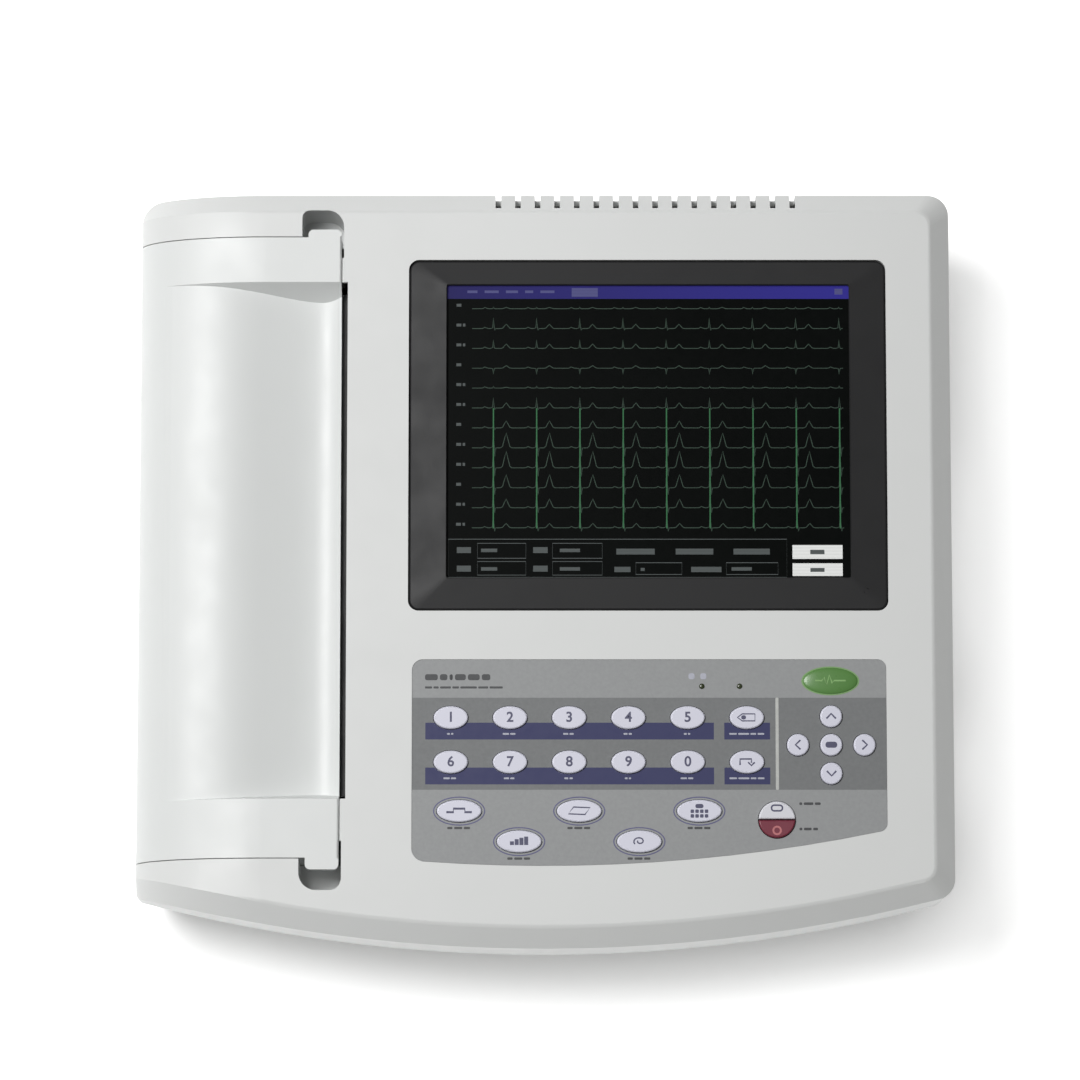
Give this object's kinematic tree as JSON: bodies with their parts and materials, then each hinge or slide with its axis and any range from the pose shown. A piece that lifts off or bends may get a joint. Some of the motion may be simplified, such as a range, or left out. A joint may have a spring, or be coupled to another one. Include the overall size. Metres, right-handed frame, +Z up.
{
  "type": "twelve-lead electrocardiograph",
  "caption": "Desktop electrocardiograph: flat white case, hinged paper door with platen roller over a thermal printer, framed colour screen and keypad with arched front edge.",
  "frame": {"origin": "centre of the footprint, on the surface the feet stand on", "axes": "+Z up, +X to the operator's right along the wide side, +Y from the operator towards the back"},
  "size_m": [0.348, 0.326, 0.0859],
  "materials": {
    "case_upper": "fine textured moulding",
    "case_lower": "fine textured moulding",
    "door_plastic": "fine textured moulding",
    "foot_rubber": "matte",
    "screw_steel": "satin",
    "battery_wrap": "smooth shrink wrap",
    "pin_steel": "ground",
    "platen_rubber": "ground matte",
    "shaft_steel": "ground",
    "gear_plastic": "natural acetal",
    "bushing_plastic": "smooth",
    "head_ceramic": "glazed along the heater line",
    "sink_aluminium": "extruded",
    "spring_steel": "bright",
    "chassis_steel": "zinc plated",
    "motor_metal": "satin black",
    "pinion_brass": "machined",
    "ribbon_plastic": "ribbed",
    "roll_paper": "coated",
    "spindle_plastic": "smooth",
    "tray_plastic": "smooth",
    "bezel_plastic": "fine texture",
    "screen_black": "anti-glare",
    "display_module": "tin-plated can",
    "bracket_steel": "zinc plated",
    "overlay_film": "matte polyester film",
    "board_laminate": "solder resist",
    "inlet_plastic": "smooth",
    "rocker_plastic": "smooth",
    "stud_brass": "nickel plated",
    "socket_steel": "tin plated",
    "port_metal": "tin plated",
    "key_plastic": "satin silicone",
    "key_red": "satin silicone",
    "key_power": "satin silicone"
  },
  "bodies": {
    "base": {"lower_case": "case_lower", "upper_case": "case_upper", "rubber_feet": "foot_rubber", "case_screws": "screw_steel", "battery_cover": "case_lower", "battery_pack": "battery_wrap", "door_hinge_pins": "pin_steel", "print_head": "head_ceramic", "head_heat_sink": "sink_aluminium", "head_springs": "spring_steel", "printer_chassis": "chassis_steel", "stepper_motor": "motor_metal", "ribbon_cables": "ribbon_plastic", "paper_tray": "tray_plastic", "lcd_bezel": "bezel_plastic", "touch_panel": "screen_black", "lcd_module": "display_module", "lcd_bracket": "bracket_steel", "keypad_overlay": "overlay_film", "keypad_board": "board_laminate", "main_board": "board_laminate", "power_supply": "board_laminate", "ac_inlet": "inlet_plastic", "earth_stud": "stud_brass", "patient_socket": "socket_steel", "data_ports": "port_metal"},
    "door": {"paper_door": "door_plastic", "platen_bushings": "bushing_plastic"},
    "platen": {"platen_roller": "platen_rubber", "platen_shaft": "shaft_steel", "platen_gear": "gear_plastic"},
    "idler": {"idler_gear": "gear_plastic"},
    "pinion": {"motor_pinion": "pinion_brass"},
    "roll": {"paper_roll": "roll_paper", "roll_spindle": "spindle_plastic"},
    "rocker": {"rocker_switch": "rocker_plastic"},
    "key_1_body": {"key_1": "key_plastic"},
    "key_2_body": {"key_2": "key_plastic"},
    "key_3_body": {"key_3": "key_plastic"},
    "key_4_body": {"key_4": "key_plastic"},
    "key_5_body": {"key_5": "key_plastic"},
    "key_6_body": {"key_6": "key_plastic"},
    "key_7_body": {"key_7": "key_plastic"},
    "key_8_body": {"key_8": "key_plastic"},
    "key_9_body": {"key_9": "key_plastic"},
    "key_0_body": {"key_0": "key_plastic"},
    "key_delete_body": {"key_delete": "key_plastic"},
    "key_shift_body": {"key_shift": "key_plastic"},
    "key_ok_body": {"key_ok": "key_plastic"},
    "key_up_body": {"key_up": "key_plastic"},
    "key_down_body": {"key_down": "key_plastic"},
    "key_left_body": {"key_left": "key_plastic"},
    "key_right_body": {"key_right": "key_plastic"},
    "key_calibrate_body": {"key_calibrate": "key_plastic"},
    "key_gain_body": {"key_gain": "key_plastic"},
    "key_feed_body": {"key_feed": "key_plastic"},
    "key_patient_body": {"key_patient": "key_plastic"},
    "key_print_body": {"key_print": "key_plastic"},
    "key_power_on_body": {"key_power_on": "key_power"},
    "key_power_off_body": {"key_power_off": "key_red"}
  },
  "joints": [
    {"name": "door_hinge", "type": "hinge", "parent": "base", "child": "door", "pos_m": [-0.171, 0.009, 0.0435], "axis": [0, -1, 0], "range_deg": [0, 100]},
    {"name": "platen_spin", "type": "hinge", "parent": "door", "child": "platen", "pos_m": [-0.096, 0.009, 0.061], "axis": [0, 1, 0], "continuous": true},
    {"name": "idler_spin", "type": "hinge", "parent": "base", "child": "idler", "pos_m": [-0.09006, 0.133, 0.03553], "axis": [0, 1, 0], "continuous": true},
    {"name": "motor_spin", "type": "hinge", "parent": "base", "child": "pinion", "pos_m": [-0.06839, 0.133, 0.03093], "axis": [0, 1, 0], "continuous": true},
    {"name": "paper_roll_spin", "type": "hinge", "parent": "base", "child": "roll", "pos_m": [-0.131, 0.01175, 0.037], "axis": [0, 1, 0], "continuous": true},
    {"name": "mains_rocker", "type": "hinge", "parent": "base", "child": "rocker", "pos_m": [0.1375, 0.1494, 0.0231], "axis": [1, 0, 0], "range_deg": [-12, 0]},
    {"name": "key_1_press", "type": "slide", "parent": "base", "child": "key_1_body", "axis": [0, 0, -1], "range_m": [0, 0.001], "stiffness_N_per_m": 400, "springref_m": -0.003},
    {"name": "key_2_press", "type": "slide", "parent": "base", "child": "key_2_body", "axis": [0, 0, -1], "range_m": [0, 0.001], "stiffness_N_per_m": 400, "springref_m": -0.003},
    {"name": "key_3_press", "type": "slide", "parent": "base", "child": "key_3_body", "axis": [0, 0, -1], "range_m": [0, 0.001], "stiffness_N_per_m": 400, "springref_m": -0.003},
    {"name": "key_4_press", "type": "slide", "parent": "base", "child": "key_4_body", "axis": [0, 0, -1], "range_m": [0, 0.001], "stiffness_N_per_m": 400, "springref_m": -0.003},
    {"name": "key_5_press", "type": "slide", "parent": "base", "child": "key_5_body", "axis": [0, 0, -1], "range_m": [0, 0.001], "stiffness_N_per_m": 400, "springref_m": -0.003},
    {"name": "key_6_press", "type": "slide", "parent": "base", "child": "key_6_body", "axis": [0, 0, -1], "range_m": [0, 0.001], "stiffness_N_per_m": 400, "springref_m": -0.003},
    {"name": "key_7_press", "type": "slide", "parent": "base", "child": "key_7_body", "axis": [0, 0, -1], "range_m": [0, 0.001], "stiffness_N_per_m": 400, "springref_m": -0.003},
    {"name": "key_8_press", "type": "slide", "parent": "base", "child": "key_8_body", "axis": [0, 0, -1], "range_m": [0, 0.001], "stiffness_N_per_m": 400, "springref_m": -0.003},
    {"name": "key_9_press", "type": "slide", "parent": "base", "child": "key_9_body", "axis": [0, 0, -1], "range_m": [0, 0.001], "stiffness_N_per_m": 400, "springref_m": -0.003},
    {"name": "key_0_press", "type": "slide", "parent": "base", "child": "key_0_body", "axis": [0, 0, -1], "range_m": [0, 0.001], "stiffness_N_per_m": 400, "springref_m": -0.003},
    {"name": "key_delete_press", "type": "slide", "parent": "base", "child": "key_delete_body", "axis": [0, 0, -1], "range_m": [0, 0.001], "stiffness_N_per_m": 400, "springref_m": -0.003},
    {"name": "key_shift_press", "type": "slide", "parent": "base", "child": "key_shift_body", "axis": [0, 0, -1], "range_m": [0, 0.001], "stiffness_N_per_m": 400, "springref_m": -0.003},
    {"name": "key_ok_press", "type": "slide", "parent": "base", "child": "key_ok_body", "axis": [0, 0, -1], "range_m": [0, 0.001], "stiffness_N_per_m": 400, "springref_m": -0.003},
    {"name": "key_up_press", "type": "slide", "parent": "base", "child": "key_up_body", "axis": [0, 0, -1], "range_m": [0, 0.001], "stiffness_N_per_m": 400, "springref_m": -0.003},
    {"name": "key_down_press", "type": "slide", "parent": "base", "child": "key_down_body", "axis": [0, 0, -1], "range_m": [0, 0.001], "stiffness_N_per_m": 400, "springref_m": -0.003},
    {"name": "key_left_press", "type": "slide", "parent": "base", "child": "key_left_body", "axis": [0, 0, -1], "range_m": [0, 0.001], "stiffness_N_per_m": 400, "springref_m": -0.003},
    {"name": "key_right_press", "type": "slide", "parent": "base", "child": "key_right_body", "axis": [0, 0, -1], "range_m": [0, 0.001], "stiffness_N_per_m": 400, "springref_m": -0.003},
    {"name": "key_calibrate_press", "type": "slide", "parent": "base", "child": "key_calibrate_body", "axis": [0, 0, -1], "range_m": [0, 0.001], "stiffness_N_per_m": 400, "springref_m": -0.003},
    {"name": "key_gain_press", "type": "slide", "parent": "base", "child": "key_gain_body", "axis": [0, 0, -1], "range_m": [0, 0.001], "stiffness_N_per_m": 400, "springref_m": -0.003},
    {"name": "key_feed_press", "type": "slide", "parent": "base", "child": "key_feed_body", "axis": [0, 0, -1], "range_m": [0, 0.001], "stiffness_N_per_m": 400, "springref_m": -0.003},
    {"name": "key_patient_press", "type": "slide", "parent": "base", "child": "key_patient_body", "axis": [0, 0, -1], "range_m": [0, 0.001], "stiffness_N_per_m": 400, "springref_m": -0.003},
    {"name": "key_print_press", "type": "slide", "parent": "base", "child": "key_print_body", "axis": [0, 0, -1], "range_m": [0, 0.001], "stiffness_N_per_m": 400, "springref_m": -0.003},
    {"name": "key_power_on_press", "type": "slide", "parent": "base", "child": "key_power_on_body", "axis": [0, 0, -1], "range_m": [0, 0.001], "stiffness_N_per_m": 400, "springref_m": -0.003},
    {"name": "key_power_off_press", "type": "slide", "parent": "base", "child": "key_power_off_body", "axis": [0, 0, -1], "range_m": [0, 0.001], "stiffness_N_per_m": 400, "springref_m": -0.003}
  ],
  "couplings": [
    {"joint": "idler_spin", "follows": "platen_spin", "ratio": -0.625},
    {"joint": "motor_spin", "follows": "platen_spin", "ratio": 1.6667}
  ]
}
